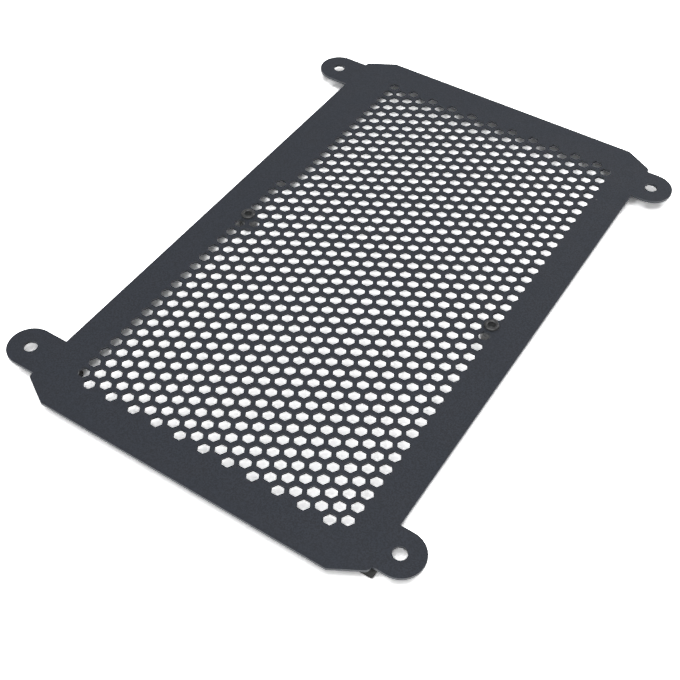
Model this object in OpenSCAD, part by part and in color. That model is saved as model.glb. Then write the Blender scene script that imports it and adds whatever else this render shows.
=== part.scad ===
// Motorcycle radiator guard: a flat perforated metal sheet with four mounting ears,
// two rubber bumpers and four foam pads.
// All sizes are in millimetres. X runs along the short edges, Y along the long edges and +Z up.
// The origin is the middle of the four ear holes, on the sheet's underside.

/* [Sheet] */
// width of the sheet's body, without its ears
sheet_w = 181.5; // [130:0.5:240]
// length of the sheet's body
sheet_l = 310; // [296:1:430]
// thickness of the sheet metal
sheet_t = 1.5; // [1:0.1:3]
// how far along the short edge each corner cut reaches
corner_run = 15; // [8:0.5:20]
// how far along the long edge each corner cut reaches
corner_drop = 8.5; // [4:0.5:12]
// radius that rounds the corner cut into the long edge
corner_r = 3; // [1:0.5:6]

/* [Ears] */
// width of each ear, which is also the diameter of its round end
ear_w = 22.5; // [16:0.5:28]
// distance from ear hole to ear hole along the long way
ear_pitch = 266; // [170:1:274]
// how far the left pair of holes lies outside the body's edge
ear_out_left = 12; // [4:0.5:25]
// how far the right pair of holes lies outside the body's edge
ear_out_right = 6.5; // [4:0.5:25]
// diameter of the hole in each ear
ear_hole_d = 6.5; // [4:0.1:10]

/* [Mesh] */
// distance between the centres of neighbouring holes
mesh_pitch = 7.5; // [6:0.1:12]
// width of each hexagonal hole across its flats
hex_flats = 5.25; // [4.2:0.05:5.6]
// least solid border along each long edge
border_side = 16; // [14:0.5:30]
// least solid border along each short edge
border_end = 17; // [8:0.5:30]
// how far past mid-length the outermost left column of holes runs
left_column_end = 30; // [8:1:100]

/* [Bumpers] */
// diameter of the ring-shaped collar that shows on top of the sheet
collar_d = 7.5; // [7.2:0.1:9.5]
// height of the collar above the sheet
collar_h = 1.1; // [1:0.1:2]
// radius that rounds the collar's two top edges
collar_r = 0.9; // [0.2:0.1:1]
// diameter of the hollow in the middle of the collar
hollow_d = 3.4; // [1:0.1:3.8]
// depth of the hollow below the top of the collar
hollow_h = 3.2; // [1:0.1:5]
// diameter of the round foot under the sheet
foot_d = 9.6; // [7:0.1:12]
// radius that rounds the foot's lower edge
foot_r = 0.8; // [0.2:0.1:1.5]
// clear gap between the bumper's neck and the flats of its hole
neck_gap = 0.1; // [0.05:0.05:0.4]

/* [Pads] */
// height of the feet and pads, which is how high the sheet stands
stand_h = 6.5; // [3.5:0.5:10]
// side of each square foam pad
pad_w = 14; // [8:0.5:14]
// how far each pad stays inside the long edge and inside its ear's outer edge
pad_inset = 2; // [0.2:0.1:3]
// how far outward of its place the front right pad is stuck, along X and along Y
pad_stray = 3.6; // [0:0.1:4]

/* [Hidden] */
$fn = 64;
half_w = sheet_w / 2;
half_l = sheet_l / 2;
ear_y = ear_pitch / 2;
// the left ears stand out further, so the body lies a little to the right of the origin
body_x = (ear_out_left - ear_out_right) / 2;
hex_r = hex_flats / sqrt(3);
column_step = mesh_pitch * sqrt(3) / 2;
side_columns = floor((half_w - border_side - hex_r) / column_step);
side_rows = floor((half_l - border_end - hex_flats / 2) / mesh_pitch);
// the corner cut's angle to the short edge, and how far its rounding reaches along each edge
corner_angle = atan(corner_drop / corner_run);
corner_reach = corner_r * tan((90 - corner_angle) / 2);
// a bumper sits in an outermost column, in the hole nearest mid-length
bumper_x = side_columns * column_step;
bumper_y = side_columns % 2 == 1 ? -mesh_pitch / 2 : 0;
neck_d = hex_flats - 2 * neck_gap;
// a pad sits in the corner between the long edge and its ear's outer edge
pad_x = half_w - pad_inset - pad_w / 2;
pad_y = ear_y + ear_w / 2 - pad_inset - pad_w / 2;
metal_colour = [0.26, 0.27, 0.29];
rubber_colour = [0.12, 0.12, 0.13];
foam_colour = [0.15, 0.15, 0.14];

// one quarter of the body, with the corner cut rounded into the long edge
module body_quarter() {
    cut_x = half_w - corner_run;
    cut_y = half_l - corner_drop;
    polygon([
        [0, 0],
        [half_w, 0],
        [half_w, cut_y - corner_reach],
        [half_w - corner_reach * cos(corner_angle), cut_y + corner_reach * sin(corner_angle)],
        [cut_x, half_l],
        [0, half_l]
    ]);
    translate([half_w - corner_r, cut_y - corner_reach]) circle(r = corner_r);
}

// an ear that reaches from the body's edge to its round end, drawn to the right
module ear_outline(out) {
    translate([half_w + out, 0]) circle(d = ear_w);
    translate([half_w - ear_w / 2, -ear_w / 2]) square([out + ear_w / 2, ear_w]);
}

module outline() {
    for (side = [0, 1], end = [0, 1]) {
        mirror([side, 0]) mirror([0, end]) body_quarter();
    }
    for (end = [-1, 1]) {
        translate([0, end * ear_y]) {
            ear_outline(ear_out_right);
            mirror([1, 0]) ear_outline(ear_out_left);
        }
    }
}

// hexagons in columns that are offset by half a pitch in turn, with their points along X
module mesh_holes() {
    for (column = [-side_columns : side_columns]) {
        odd = abs(column) % 2;
        for (row = [-side_rows : side_rows - odd]) {
            y = (row + odd / 2) * mesh_pitch;
            if (column > -side_columns || y < left_column_end) {
                translate([column * column_step, y]) circle(r = hex_r, $fn = 6);
            }
        }
    }
}

module ear_holes() {
    for (y = [-ear_y, ear_y]) {
        translate([half_w + ear_out_right, y]) circle(d = ear_hole_d);
        translate([-half_w - ear_out_left, y]) circle(d = ear_hole_d);
    }
}

module sheet() {
    color(metal_colour)
    translate([body_x, 0, 0]) linear_extrude(sheet_t) difference() {
        outline();
        mesh_holes();
        ear_holes();
    }
}

// collar, neck and foot in one turned rubber piece
module bumper() {
    ring_w = (collar_d - hollow_d) / 2;
    color(rubber_colour)
    rotate_extrude() difference() {
        union() {
            // foot
            translate([0, -stand_h]) square([foot_d / 2 - foot_r, stand_h]);
            translate([0, -stand_h + foot_r]) square([foot_d / 2, stand_h - foot_r]);
            translate([foot_d / 2 - foot_r, -stand_h + foot_r]) circle(r = foot_r);
            // neck
            square([neck_d / 2, sheet_t]);
            // collar, a ring with a rounded top
            translate([hollow_d / 2, sheet_t]) square([ring_w, collar_h - collar_r]);
            translate([hollow_d / 2 + collar_r, sheet_t]) square([ring_w - 2 * collar_r, collar_h]);
            collar_edge(hollow_d / 2 + collar_r);
            collar_edge(collar_d / 2 - collar_r);
        }
        translate([0, sheet_t + collar_h - hollow_h]) square([hollow_d / 2, hollow_h]);
    }
}

// the rounding of one of the collar's two top edges, centred x from the axis
module collar_edge(x) {
    intersection() {
        translate([x, sheet_t + collar_h - collar_r]) circle(r = collar_r);
        translate([0, sheet_t]) square([collar_d, collar_h]);
    }
}

// side is -1 for the left bumper and 1 for the right one
module place_bumper(side) {
    translate([body_x + side * bumper_x, bumper_y, 0]) bumper();
}

// side is -1 for left and 1 for right, and end is -1 for front and 1 for back
module pad(side, end) {
    stray = side == 1 && end == -1 ? pad_stray : 0;
    color(foam_colour)
    translate([
        body_x + side * (pad_x + stray) - pad_w / 2,
        end * (pad_y + stray) - pad_w / 2,
        -stand_h
    ]) {
        cube([pad_w, pad_w, stand_h]);
    }
}

sheet();
place_bumper(-1);  // bumper_left
place_bumper(1);  // bumper_right
pad(-1, -1);  // pad_front_left
pad(1, -1);  // pad_front_right
pad(-1, 1);  // pad_back_left
pad(1, 1);  // pad_back_right
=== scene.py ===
# %% [markdown]
# # Dressing a motorcycle radiator guard
# The guard is a flat sheet of aluminium with a hexagonal mesh cut into it. It is bolted in front
# of a radiator, where it stops stones. Its shape comes from CAD and is already exact, so Blender
# is here for what CAD leaves out: the powder coat, the rubber, the foam, the light and the camera.
# The first cell loads the CAD model. Everything after it is in metres, in the same frame, whose
# zero height is the sheet's underside.

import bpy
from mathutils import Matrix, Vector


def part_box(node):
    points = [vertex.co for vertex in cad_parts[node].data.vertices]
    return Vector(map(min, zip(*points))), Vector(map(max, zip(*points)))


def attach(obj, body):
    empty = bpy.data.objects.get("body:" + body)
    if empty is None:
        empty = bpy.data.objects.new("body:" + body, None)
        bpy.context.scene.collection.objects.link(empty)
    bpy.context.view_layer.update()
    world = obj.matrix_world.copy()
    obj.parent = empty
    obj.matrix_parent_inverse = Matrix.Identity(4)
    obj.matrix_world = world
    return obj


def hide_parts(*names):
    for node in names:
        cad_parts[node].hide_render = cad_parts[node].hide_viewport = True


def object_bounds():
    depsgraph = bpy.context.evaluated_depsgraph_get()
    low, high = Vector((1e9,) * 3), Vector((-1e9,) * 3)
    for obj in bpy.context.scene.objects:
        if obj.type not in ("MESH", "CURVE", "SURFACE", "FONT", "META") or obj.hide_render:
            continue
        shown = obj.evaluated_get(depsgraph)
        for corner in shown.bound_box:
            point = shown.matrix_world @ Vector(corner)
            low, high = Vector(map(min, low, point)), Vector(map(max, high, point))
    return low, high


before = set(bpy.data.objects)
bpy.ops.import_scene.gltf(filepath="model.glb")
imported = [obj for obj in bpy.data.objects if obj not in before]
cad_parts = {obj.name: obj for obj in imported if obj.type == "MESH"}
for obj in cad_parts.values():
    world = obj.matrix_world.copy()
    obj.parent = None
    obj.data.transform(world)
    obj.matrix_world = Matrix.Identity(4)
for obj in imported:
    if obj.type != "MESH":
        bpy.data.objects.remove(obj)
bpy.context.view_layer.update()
print("CAD nodes:", sorted(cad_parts))

# %% [markdown]
# ## Three helpers
# Colours are given as sRGB hex values, the ones that a paint program shows. Blender
# calculates with linear light, so the first function turns one into the other. The second adds a
# shader node, sets its values and links it, which keeps each material readable, because one call
# is one node. The third starts an empty material.

# %% Colour, node and material helpers
import bpy


def linear(hex_colour):
    """An sRGB colour such as #808080 as linear red, green, blue and alpha."""
    channels = [int(hex_colour[i:i + 2], 16) / 255 for i in (1, 3, 5)]
    return [c / 12.92 if c <= 0.04045 else ((c + 0.055) / 1.055) ** 2.4 for c in channels] + [1]


def add(tree, kind, inputs=None, **settings):
    """Adds a shader node. An input is a value, or the output socket that it is linked to."""
    node = tree.nodes.new("ShaderNode" + kind)
    for name, value in settings.items():
        setattr(node, name, value)
    for name, value in (inputs or {}).items():
        if isinstance(value, bpy.types.NodeSocket):
            tree.links.new(value, node.inputs[name])
        else:
            node.inputs[name].default_value = value
    return node


def new_material(name):
    """An empty material, and its node tree."""
    material = bpy.data.materials.new(name)
    material.use_nodes = True
    material.node_tree.nodes.clear()
    return material, material.node_tree


print("Mid grey, linear:", [round(c, 3) for c in linear("#808080")])

# %% [markdown]
# ## The powder coat's black
# Real object: the sheet is sprayed with dry black powder, which melts in an oven into a tough
# plastic skin about 0.1 mm thick. A matt powder is ground so that it doesn't flow out flat: its
# surface is a fine grain that spreads each reflection, so the sheet looks dark grey, not black.
# It could be one plain black, but then the sheet looks like paper. So two noises mix it: a slow
# one for the coat's thickness, and a fine one that lights up single grains.

# %% Grained black
GRAIN_SIZE = 0.0006  # a real grain is about 0.1 mm, and drawn as fine no pixel would show it
DRIFT_SIZE = 0.012  # the coat's thickness wanders over about 12 mm


def grained_black(tree, grain, drift):
    """Two close shades that follow the coat's thickness, with paler grains on top."""
    shade = add(tree, "ValToRGB", {"Fac": drift})
    shade.color_ramp.elements[0].position = 0.3
    shade.color_ramp.elements[0].color = linear("#191c23")
    shade.color_ramp.elements[1].position = 0.7
    shade.color_ramp.elements[1].color = linear("#1d2128")
    fleck = add(tree, "MapRange", {"Value": grain, "From Min": 0.4, "From Max": 0.6,
                                   "To Min": 0.0, "To Max": 0.26})
    return add(tree, "Mix", {"Factor": fleck.outputs["Result"], "A": shade.outputs["Color"],
                             "B": linear("#3a404c")}, data_type="RGBA").outputs["Result"]


print("A grain is drawn", round(1000 * GRAIN_SIZE, 2), "mm wide")

# %% [markdown]
# ## Cut edges, with painted light, and dust
# Real object: melted powder draws back from a sharp edge, so the laser-cut edges are a little
# smoother than the two wide faces. They are also painted a little paler: painted light, which
# stands in for the light that the bright table throws up onto them. One speck of dust lies at the
# back right. Both could be painted by hand on a picture that is wrapped round the sheet. The
# shader can also find them: an edge is where the surface's normal lies level, and the dust is
# whatever is near one point.

# %% Where the edges, with their painted light, and the dust are
DUST_PLACE = (0.0793, 0.1076, 0.0015)  # on the top face, near the back right ear


def cut_edges_smooth_and_painted_light(tree, normal):
    """1 on a cut edge, which gets painted light and a lower roughness, and 0 on the wide faces."""
    up = add(tree, "SeparateXYZ", {"Vector": normal}).outputs["Z"]
    flatness = add(tree, "Math", {0: up}, operation="ABSOLUTE").outputs["Value"]
    return add(tree, "MapRange", {"Value": flatness, "From Min": 0.2, "From Max": 0.8,
                                  "To Min": 1.0, "To Max": 0.0}).outputs["Result"]


def dust_speck(tree, place):
    """A thin cover of dust within 0.3 mm of its place, which is gone at 0.6 mm."""
    away = add(tree, "VectorMath", {0: place, 1: DUST_PLACE}, operation="DISTANCE")
    return add(tree, "MapRange", {"Value": away.outputs["Value"], "From Min": 0.0003,
                                  "From Max": 0.0006, "To Min": 0.22,
                                  "To Max": 0.0}).outputs["Result"]


print("The dust lies at, mm:", [round(1000 * value, 1) for value in DUST_PLACE])

# %% [markdown]
# ## The powder coat
# Real object: nothing shines on a matt coat, but it gets lighter towards a low angle, and its
# cut edges catch a little more light. A plain high roughness gives the first and loses the
# grain. So the grain is a bump as well, and the roughness follows the coat's thickness and drops
# on the edges, whose paler colour is painted light. The grain also shades part of its own
# shine, so the specular level is below 0.5.

# %% Matt black powder coat
def powder_coat():
    material, tree = new_material("powder_coated_aluminium_fine_matt_black")
    surface = add(tree, "TexCoord").outputs
    grain = add(tree, "TexNoise", {"Vector": surface["Object"], "Scale": 1 / GRAIN_SIZE,
                                   "Detail": 2.0}).outputs["Fac"]
    drift = add(tree, "TexNoise", {"Vector": surface["Object"], "Scale": 1 / DRIFT_SIZE,
                                   "Detail": 3.0}).outputs["Fac"]
    edge_smooth_and_painted_light = cut_edges_smooth_and_painted_light(tree, surface["Normal"])
    # painted light: the cut edges are mixed to a paler grey, for the light that the bright table
    # throws up onto them
    coated = add(tree, "Mix", {"Factor": edge_smooth_and_painted_light, "A": grained_black(tree, grain, drift),
                               "B": linear("#42464c")}, data_type="RGBA")
    dusted = add(tree, "Mix", {"Factor": dust_speck(tree, surface["Object"]),
                               "A": coated.outputs["Result"], "B": linear("#8c8b88")},
                 data_type="RGBA")
    rough_face = add(tree, "MapRange", {"Value": drift, "From Min": 0.3, "From Max": 0.7,
                                        "To Min": 0.60, "To Max": 0.68})
    rough = add(tree, "Mix", {"Factor": edge_smooth_and_painted_light, "A": rough_face.outputs["Result"], "B": 0.45},
                data_type="FLOAT")
    bump = add(tree, "Bump", {"Height": grain, "Strength": 0.35, "Distance": 0.00008})
    skin = add(tree, "BsdfPrincipled", {"Base Color": dusted.outputs["Result"], "IOR": 1.5,
                                        "Specular IOR Level": 0.3,
                                        "Roughness": rough.outputs["Result"],
                                        "Normal": bump.outputs["Normal"]})
    add(tree, "OutputMaterial", {"Surface": skin.outputs["BSDF"]})
    return material


coat = powder_coat()
print("Made", coat.name)

# %% [markdown]
# ## A pale grey low on the bumpers
# Real object: two rubber bumpers sit in the mesh. Their rubber is made a pale grey in the
# collar's hollow and below the sheet, which lie in shade and would otherwise be plain black.
# It could be a second material on those faces, but that ends at a hard line. Here the height
# says how much grey there is, so it fades, and it is patchy with the bloom, a faint film that
# rubber grows.

# %% Pale grey by height
PALE_GREY_THINS_UP = (0.0008, 0.0022)  # from half the sheet's thickness to the collar's rounding
PALE_GREY_THINS_DOWN = (-0.001, -0.0045)  # from just below the sheet to two thirds down the foot


def pale_grey_by_height(tree, place, bloom):
    """How much of the surface is pale grey, from 1 down to 0."""
    height = add(tree, "SeparateXYZ", {"Vector": place}).outputs["Z"]
    above = add(tree, "MapRange", {"Value": height, "From Min": PALE_GREY_THINS_UP[0],
                                   "From Max": PALE_GREY_THINS_UP[1], "To Min": 1.0, "To Max": 0.0})
    below = add(tree, "MapRange", {"Value": height, "From Min": PALE_GREY_THINS_DOWN[1],
                                   "From Max": PALE_GREY_THINS_DOWN[0], "To Min": 0.15, "To Max": 1.0})
    film = add(tree, "Math", {0: above.outputs["Result"], 1: below.outputs["Result"]},
               operation="MULTIPLY")
    patchy = add(tree, "MapRange", {"Value": bloom, "From Min": 0.3, "From Max": 0.7,
                                    "To Min": 0.7, "To Max": 1.0})
    return add(tree, "Math", {0: film.outputs["Value"], 1: patchy.outputs["Result"]},
               operation="MULTIPLY").outputs["Value"]


print("The talc is thickest from", round(1000 * PALE_GREY_THINS_DOWN[0], 1), "to",
      round(1000 * PALE_GREY_THINS_UP[0], 1), "mm in height")

# %% [markdown]
# ## The rubber
# Real object: a push-in bumper is moulded in soft black rubber. It is squeezed through a hole of
# the mesh, so that a thin collar shows on top and a foot keeps the sheet off the radiator. Its
# shape is already right in CAD, and only its surface is made here. The mould leaves it smoother
# than the coat, so a rounded edge shows a soft highlight. One gloss all over would be simpler,
# but then the highlight is as clean as on plastic, so the bloom changes shade and gloss.

# %% Moulded black rubber
BLOOM_SIZE = 0.0015  # bloom comes in patches of about 1.5 mm


def moulded_rubber():
    material, tree = new_material("moulded_black_rubber")
    place = add(tree, "TexCoord").outputs["Object"]
    bloom = add(tree, "TexNoise", {"Vector": place, "Scale": 1 / BLOOM_SIZE,
                                   "Detail": 3.0}).outputs["Fac"]
    shade = add(tree, "ValToRGB", {"Fac": bloom})
    shade.color_ramp.elements[0].position = 0.35
    shade.color_ramp.elements[0].color = linear("#151618")
    shade.color_ramp.elements[1].position = 0.7
    shade.color_ramp.elements[1].color = linear("#1f2022")
    filmed = add(tree, "Mix", {"Factor": pale_grey_by_height(tree, place, bloom),
                               "A": shade.outputs["Color"], "B": linear("#666768")},
                 data_type="RGBA")
    rough = add(tree, "MapRange", {"Value": bloom, "From Min": 0.3, "From Max": 0.7,
                                   "To Min": 0.24, "To Max": 0.34})
    bump = add(tree, "Bump", {"Height": bloom, "Strength": 0.2, "Distance": 0.0001})
    skin = add(tree, "BsdfPrincipled", {"Base Color": filmed.outputs["Result"], "IOR": 1.52,
                                        "Roughness": rough.outputs["Result"],
                                        "Normal": bump.outputs["Normal"]})
    add(tree, "OutputMaterial", {"Surface": skin.outputs["BSDF"]})
    return material


rubber = moulded_rubber()
print("Made", rubber.name)

# %% [markdown]
# ## Coat and rubber on the CAD pieces
# Real object: the sheet is coated all over, holes and edges too, and each bumper is one piece of
# rubber. Their CAD shapes could be copied and dressed, but they are right as they are. So the
# CAD objects stay, and only the material in their slot is exchanged.

# %% Put the coat and the rubber on the CAD nodes
finishes = {"sheet": coat, "bumper_left": rubber, "bumper_right": rubber}
for name, material in finishes.items():
    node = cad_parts[name]
    node.data.materials.clear()
    node.data.materials.append(material)
    print(name, "wears", material.name)

# %% [markdown]
# ## The foam
# Real object: under each corner a square of closed-cell foam is stuck on, so that the guard
# doesn't rattle. It is cut with a blade from a sheet, so its sides show opened bubbles and its
# edges are soft. The colour is a dull black with no gloss at all. The bubbles could be modelled,
# but they are half a millimetre across and in shadow, so a cell pattern drives a bump instead,
# and it also paints shade into the middle of each open bubble.

# %% Cut closed-cell foam
BUBBLE_SIZE = 0.0005  # from one bubble to the next


def cut_foam():
    material, tree = new_material("cut_closed_cell_black_foam")
    place = add(tree, "TexCoord").outputs["Object"]
    # painted shade: a cell is dark at its middle, where the open bubble is a hollow, and paler at
    # its wall
    bubble = add(tree, "TexVoronoi", {"Vector": place, "Scale": 1 / BUBBLE_SIZE})
    shade = add(tree, "ValToRGB", {"Fac": bubble.outputs["Distance"]})
    shade.color_ramp.elements[0].position = 0.1
    shade.color_ramp.elements[0].color = linear("#151515")
    shade.color_ramp.elements[1].position = 0.6
    shade.color_ramp.elements[1].color = linear("#2a2a29")
    bump = add(tree, "Bump", {"Height": bubble.outputs["Distance"], "Strength": 0.6,
                              "Distance": 0.00015})
    skin = add(tree, "BsdfPrincipled", {"Base Color": shade.outputs["Color"], "IOR": 1.45,
                                        "Roughness": 0.95, "Normal": bump.outputs["Normal"]})
    add(tree, "OutputMaterial", {"Surface": skin.outputs["BSDF"]})
    return material


foam = cut_foam()
print("Made", foam.name)

# %% [markdown]
# ## How a blade leaves foam
# Real object: a blade never cuts foam quite straight, it rounds the edges, and a pad that carries
# weight bulges a little at half its height. A cloth simulation under pressure could swell the
# pad, but it is slow and rounds a firm little block too much. Here one function says where each
# point of a plain block goes. The waves are read at each pad's own place, so no two pads match.

# %% One point of a cut block
from mathutils import Vector, noise

EDGE_RADIUS = 0.001  # how round the blade and the handling leave an edge
BULGE = 0.00025  # how far a side swells at half its height
WANDER = 0.00012  # how far the blade leaves its line
WAVES_PER_METRE = 260  # the blade's waves are about 4 mm long
TOUCHING = 1e-7  # a point as near as this to a side lies on it


def cut_point(unit, centre, half):
    """Where a point of the block from -1 to 1 lies on the foam of this centre and half size."""
    outward = [1 if value > 0 else -1 for value in unit]
    room = [(1 - abs(unit[axis])) * half[axis] for axis in range(3)]
    # the sides start further in by as much as they may be pushed out, and stay inside the box
    inset = (BULGE + WANDER, BULGE + WANDER, 0)
    place = Vector(unit[axis] * (half[axis] - inset[axis]) for axis in range(3))
    # where there is little room to two or three sides, the point is near an edge or a corner
    near = [max(0.0, 1 - distance / EDGE_RADIUS) for distance in room]
    if sum(value > 0 for value in near) > 1:
        length = sum(value ** 2 for value in near) ** 0.5
        for axis in range(3):
            place[axis] -= outward[axis] * EDGE_RADIUS * near[axis] * (1 - 1 / max(length, 1.0))
    for axis in (0, 1):
        if room[axis] < TOUCHING:
            wave = WANDER * noise.noise((centre + place) * WAVES_PER_METRE)
            place[axis] += outward[axis] * (BULGE * (1 - unit.z ** 2) + wave)
    return centre + place


print("A side swells by", round(1000 * BULGE, 2), "mm and wanders by up to",
      round(1000 * WANDER, 2), "mm")

# %% [markdown]
# ## The four pads
# Real object: four squares of foam, one beside each ear. A cube with a bevel and a subdivision
# modifier would be quick, but it can't carry the blade's waves. So each pad is a block of small
# faces, and the function above moves its points.

# %% Foam pads in place of the plain CAD blocks
import bmesh

CUTS = 18  # each side gets 19 rows of faces, less than a millimetre apart


def foam_pad(name, low, high):
    """A cut block of foam that fills the box from low to high."""
    mesh = bpy.data.meshes.new(name)
    form = bmesh.new()
    bmesh.ops.create_cube(form, size=2)
    bmesh.ops.subdivide_edges(form, edges=form.edges[:], cuts=CUTS, use_grid_fill=True)
    for point in form.verts:
        point.co = cut_point(point.co.copy(), (low + high) / 2, (high - low) / 2)
    bmesh.ops.recalc_face_normals(form, faces=form.faces[:])
    form.to_mesh(mesh)
    form.free()
    mesh.shade_smooth()
    mesh.materials.append(foam)
    pad = bpy.data.objects.new(name, mesh)
    bpy.context.scene.collection.objects.link(pad)
    return pad


for corner in ("front_left", "front_right", "back_left", "back_right"):
    node = "pad_" + corner
    pad = foam_pad("foam_" + corner, *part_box(node))
    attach(pad, "root")
    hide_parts(node)
    print(pad.name, "has", len(pad.data.polygons), "faces")

# %% [markdown]
# ## The table
# Real object: the guard lies on a wide white table, on its foam pads and rubber feet. A curved
# backdrop is often used for such pictures, but no horizon is in view here, so one flat plane
# does.

# %% Table top
TABLE_WIDTH = 2.2
TABLE_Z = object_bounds()[0][2]

bpy.ops.mesh.primitive_plane_add(size=TABLE_WIDTH, location=(0, 0, TABLE_Z))
table = bpy.context.object
table.name = "table"
print("The table lies at", round(1000 * TABLE_Z, 2), "mm")

# %% [markdown]
# ## An exposure of its own
# Real object: the table is so brightly lit that the photograph shows it as pure white, with only
# the closest shadows left. Brighter lamps could do that, but they would burn out the guard as
# well. A white that takes no shadow would leave the guard floating. So what the camera sees of
# the table, straight, in a reflection or through glass, is lifted by a fixed share. Its shadows
# are lifted with it and keep their places, and the light that it throws on matt surfaces isn't.

# %% White laminate with its shadows kept
TABLE_LIFT = 3.1


def seen_by_camera(tree):
    """1 for what the camera sees, and 0 for what only lights the guard."""
    path = add(tree, "LightPath").outputs
    seen = add(tree, "Math", {0: path["Is Camera Ray"], 1: path["Is Glossy Ray"]},
               operation="MAXIMUM")
    seen = add(tree, "Math", {0: seen.outputs["Value"], 1: path["Is Transmission Ray"]},
               operation="MAXIMUM")
    # a reflection that comes after a diffuse bounce isn't seen as one: it only lights something
    direct = add(tree, "Math", {0: path["Diffuse Depth"], 1: 0.5}, operation="LESS_THAN")
    return add(tree, "Math", {0: seen.outputs["Value"], 1: direct.outputs["Value"]},
               operation="MULTIPLY").outputs["Value"]


def white_laminate():
    material, tree = new_material("white_table_laminate")
    white = linear("#efefef")
    lifted = [channel * TABLE_LIFT for channel in white[:3]] + [1]
    colour = add(tree, "Mix", {"Factor": seen_by_camera(tree), "A": white, "B": lifted},
                 data_type="RGBA")
    skin = add(tree, "BsdfDiffuse", {"Color": colour.outputs["Result"]})
    add(tree, "OutputMaterial", {"Surface": skin.outputs["BSDF"]})
    return material


laminate = white_laminate()
table.data.materials.append(laminate)
print("Made", laminate.name)

# %% [markdown]
# ## The lamps
# Real object: no lamp is reflected as a hard spot, and the shadow under the border is dark but
# soft at its rim, so the light is a wide softbox nearly overhead, a smaller one at the back and
# a weak one at either side in front. They could be set by eye. Here their places and shares were
# worked out: the white table seen through 825 holes is a picture of the light, because each spot
# of it sees another part of the ceiling.

# %% Softboxes
from math import pi

# each lamp's place, its width, and its share of the light on a level surface
SOFTBOXES = {
    "overhead_softbox": ((0.10, -0.21, 1.40), 1.15, 0.59),
    "back_softbox": ((0.34, 1.15, 1.00), 0.45, 0.13),
    "front_left_softbox": ((-0.78, -1.25, 0.90), 0.69, 0.07),
    "front_right_softbox": ((0.95, -0.75, 0.80), 0.60, 0.06),
}


def softbox(name, place, width, share):
    """A round lamp aimed at the origin, strong enough to give its share of the light there."""
    lamp = bpy.data.lights.new(name, "AREA")
    lamp.shape = "DISK"
    lamp.size = width
    # a surface that faces a round lamp gets energy / (pi * reach), a level one gets z / distance
    # of that, and a matt white looks white when it gets pi
    reach = place.length_squared + width ** 2 / 4
    lamp.energy = share * pi * pi * reach * place.length / place.z
    holder = bpy.data.objects.new(name, lamp)
    holder.location = place
    holder.rotation_euler = (-place).to_track_quat("-Z", "Y").to_euler()
    bpy.context.scene.collection.objects.link(holder)
    print(name, "has", round(lamp.energy, 1), "W")


for name, (place, width, share) in SOFTBOXES.items():
    softbox(name, Vector(place), width, share)

# %% [markdown]
# ## The room
# Real object: the walls of a white room throw some light back from all sides, and the picture's
# background is white. It could be built with walls, but a plain world does the same with less.
# It gives the share of the light that the lamps leave over, so that together they light a level
# surface as brightly as its colour is written. What the camera sees of it is plain white.

# %% White room
ROOM_SHARE = 0.15
BACKDROP_STRENGTH = 1.0

world = bpy.data.worlds.new("white_room")
bpy.context.scene.world = world
world.use_nodes = True
tree = world.node_tree
tree.nodes.clear()
light = add(tree, "Background", {"Color": linear("#ffffff"), "Strength": ROOM_SHARE})
backdrop = add(tree, "Background", {"Color": linear("#ffffff"), "Strength": BACKDROP_STRENGTH})
room = add(tree, "MixShader", {"Fac": seen_by_camera(tree), 1: light.outputs["Background"],
                               2: backdrop.outputs["Background"]})
add(tree, "OutputWorld", {"Surface": room.outputs["Shader"]})
bpy.context.scene.view_settings.view_transform = "Standard"
shares = [share for place, width, share in SOFTBOXES.values()] + [ROOM_SHARE]
print("All shares of the light together:", round(sum(shares), 2))

# %% [markdown]
# ## The camera
# Real object: the photograph looks down on the guard at about 49 degrees from a corner. The
# place of the camera could be guessed and nudged. Here it was worked out instead: 770 holes of
# the mesh are known points on a regular grid, and only one camera puts them all where the
# photograph has them.

# %% Camera at the photograph's angle
from math import radians

camera = bpy.data.objects.new("camera", bpy.data.cameras.new("camera"))
camera.location = (0.19314, -0.32923, 0.37761)
camera.rotation_euler = [radians(angle) for angle in (41.1326, -0.5491, 32.7148)]
camera.data.sensor_width = 36
camera.data.lens = 56.264
bpy.context.scene.collection.objects.link(camera)
bpy.context.scene.camera = camera
print("The camera is", round(camera.location.length, 3), "m away, with a lens of",
      round(camera.data.lens, 1), "mm")
